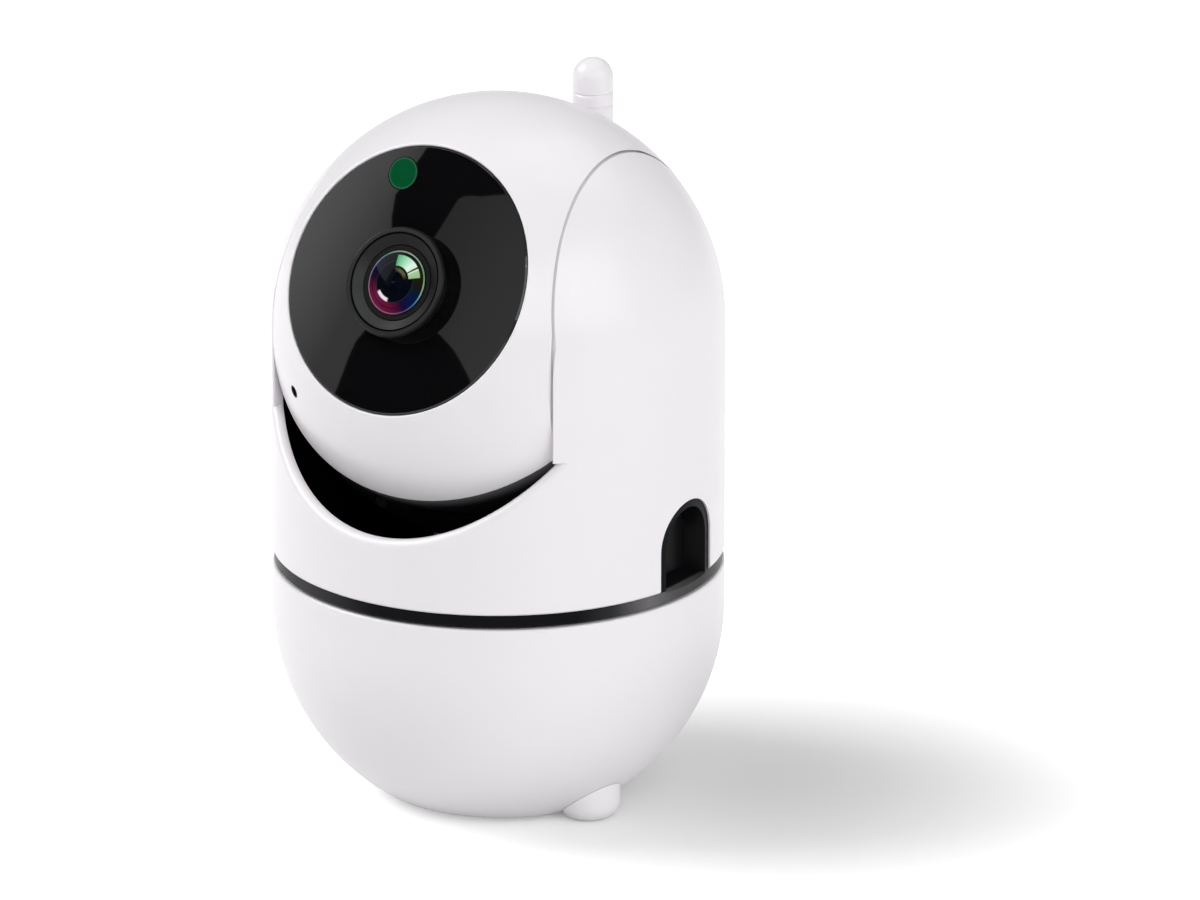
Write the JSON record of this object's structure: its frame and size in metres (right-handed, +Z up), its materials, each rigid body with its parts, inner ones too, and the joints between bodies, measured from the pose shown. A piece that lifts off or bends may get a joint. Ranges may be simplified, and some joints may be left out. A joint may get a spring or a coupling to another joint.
{
  "type": "pan tilt pet camera",
  "caption": "Egg-shaped pet camera with a rounded base, a panning upper body, a tilting lens head, a glossy round face plate and a stub antenna.",
  "frame": {"origin": "centre of the ground contact, on the pan axis", "axes": "+Z up the pan axis, -Y the way the face looks at rest, +X to the right for someone who looks at the face"},
  "size_m": [0.072, 0.072, 0.1141],
  "materials": {
    "white_plastic": "glossy, slightly cool white",
    "black_plastic": "satin black",
    "black_gloss": "glossy black",
    "foot_plastic": "glossy, slightly cool white",
    "bearing_plastic": "natural, low friction",
    "gear_plastic": "natural",
    "motor_steel": "plated",
    "shaft_steel": "ground",
    "screw_steel": "plated",
    "socket_steel": "plated",
    "board": "solder mask",
    "chip": "moulded",
    "led_lens": "clear",
    "lens_glass": "coated",
    "window_green": "translucent green"
  },
  "bodies": {
    "base": {"base_bowl": "white_plastic", "bottom_cover": "white_plastic", "foot_left": "foot_plastic", "foot_right": "foot_plastic", "foot_rear": "foot_plastic", "bottom_screws": "screw_steel", "base_deck": "black_plastic", "deck_screws": "screw_steel", "pan_motor": "motor_steel", "pan_washer": "bearing_plastic", "pan_retainer": "bearing_plastic", "usb_board": "board", "usb_socket": "socket_steel", "speaker": "black_plastic"},
    "pan_pinion_body": {"pan_pinion": "gear_plastic", "pan_motor_shaft": "shaft_steel"},
    "upper_body": {"pan_ring": "black_plastic", "turntable": "black_plastic", "pan_gear": "gear_plastic", "front_shell": "white_plastic", "rear_shell": "white_plastic", "tilt_frame_left": "black_plastic", "tilt_frame_right": "black_plastic", "tilt_bush_left": "bearing_plastic", "tilt_bush_right": "bearing_plastic", "tilt_motor": "motor_steel", "driver_board": "board", "antenna_base": "white_plastic", "antenna_collar": "white_plastic", "antenna_cap": "white_plastic", "antenna_rod": "shaft_steel", "body_screws": "screw_steel"},
    "tilt_pinion_body": {"tilt_pinion": "gear_plastic", "tilt_motor_shaft": "shaft_steel"},
    "head": {"head_shell": "white_plastic", "face_plate": "black_gloss", "head_core_left": "black_plastic", "head_core_right": "black_plastic", "tilt_gear": "gear_plastic", "chin_cover": "black_plastic", "lens_bezel": "black_gloss", "lens_barrel": "black_plastic", "lens_front_glass": "lens_glass", "lens_rear_glass": "lens_glass", "lens_holder": "black_plastic", "image_board": "board", "image_sensor": "chip", "ir_board": "board", "ir_leds": "led_lens", "light_sensor": "led_lens", "sensor_window": "window_green", "microphone": "socket_steel", "card_board": "board", "card_socket": "socket_steel", "reset_switch": "chip"},
    "reset_button_body": {"reset_button": "black_plastic"}
  },
  "joints": [
    {"name": "pan", "type": "hinge", "parent": "base", "child": "upper_body", "pos_m": [0, 0, 0.0385], "axis": [0, 0, 1], "range_deg": [-177.5, 177.5]},
    {"name": "tilt", "type": "hinge", "parent": "upper_body", "child": "head", "pos_m": [0, 0.0015, 0.08215], "axis": [1, 0, 0], "range_deg": [0, 60]},
    {"name": "pan_drive", "type": "hinge", "parent": "base", "child": "pan_pinion_body", "pos_m": [-0.0175, 0, 0.036], "axis": [0, 0, 1], "range_deg": [-720, 720]},
    {"name": "tilt_drive", "type": "hinge", "parent": "upper_body", "child": "tilt_pinion_body", "pos_m": [-0.0225, 0.0015, 0.06715], "axis": [1, 0, 0], "range_deg": [-245, 5]},
    {"name": "reset_press", "type": "slide", "parent": "head", "child": "reset_button_body", "axis": [0, 1, 0], "range_m": [0, 0.0006], "stiffness_N_per_m": 300}
  ],
  "couplings": [
    {"joint": "pan_drive", "follows": "pan", "ratio": -4},
    {"joint": "tilt_drive", "follows": "tilt", "ratio": -4}
  ]
}
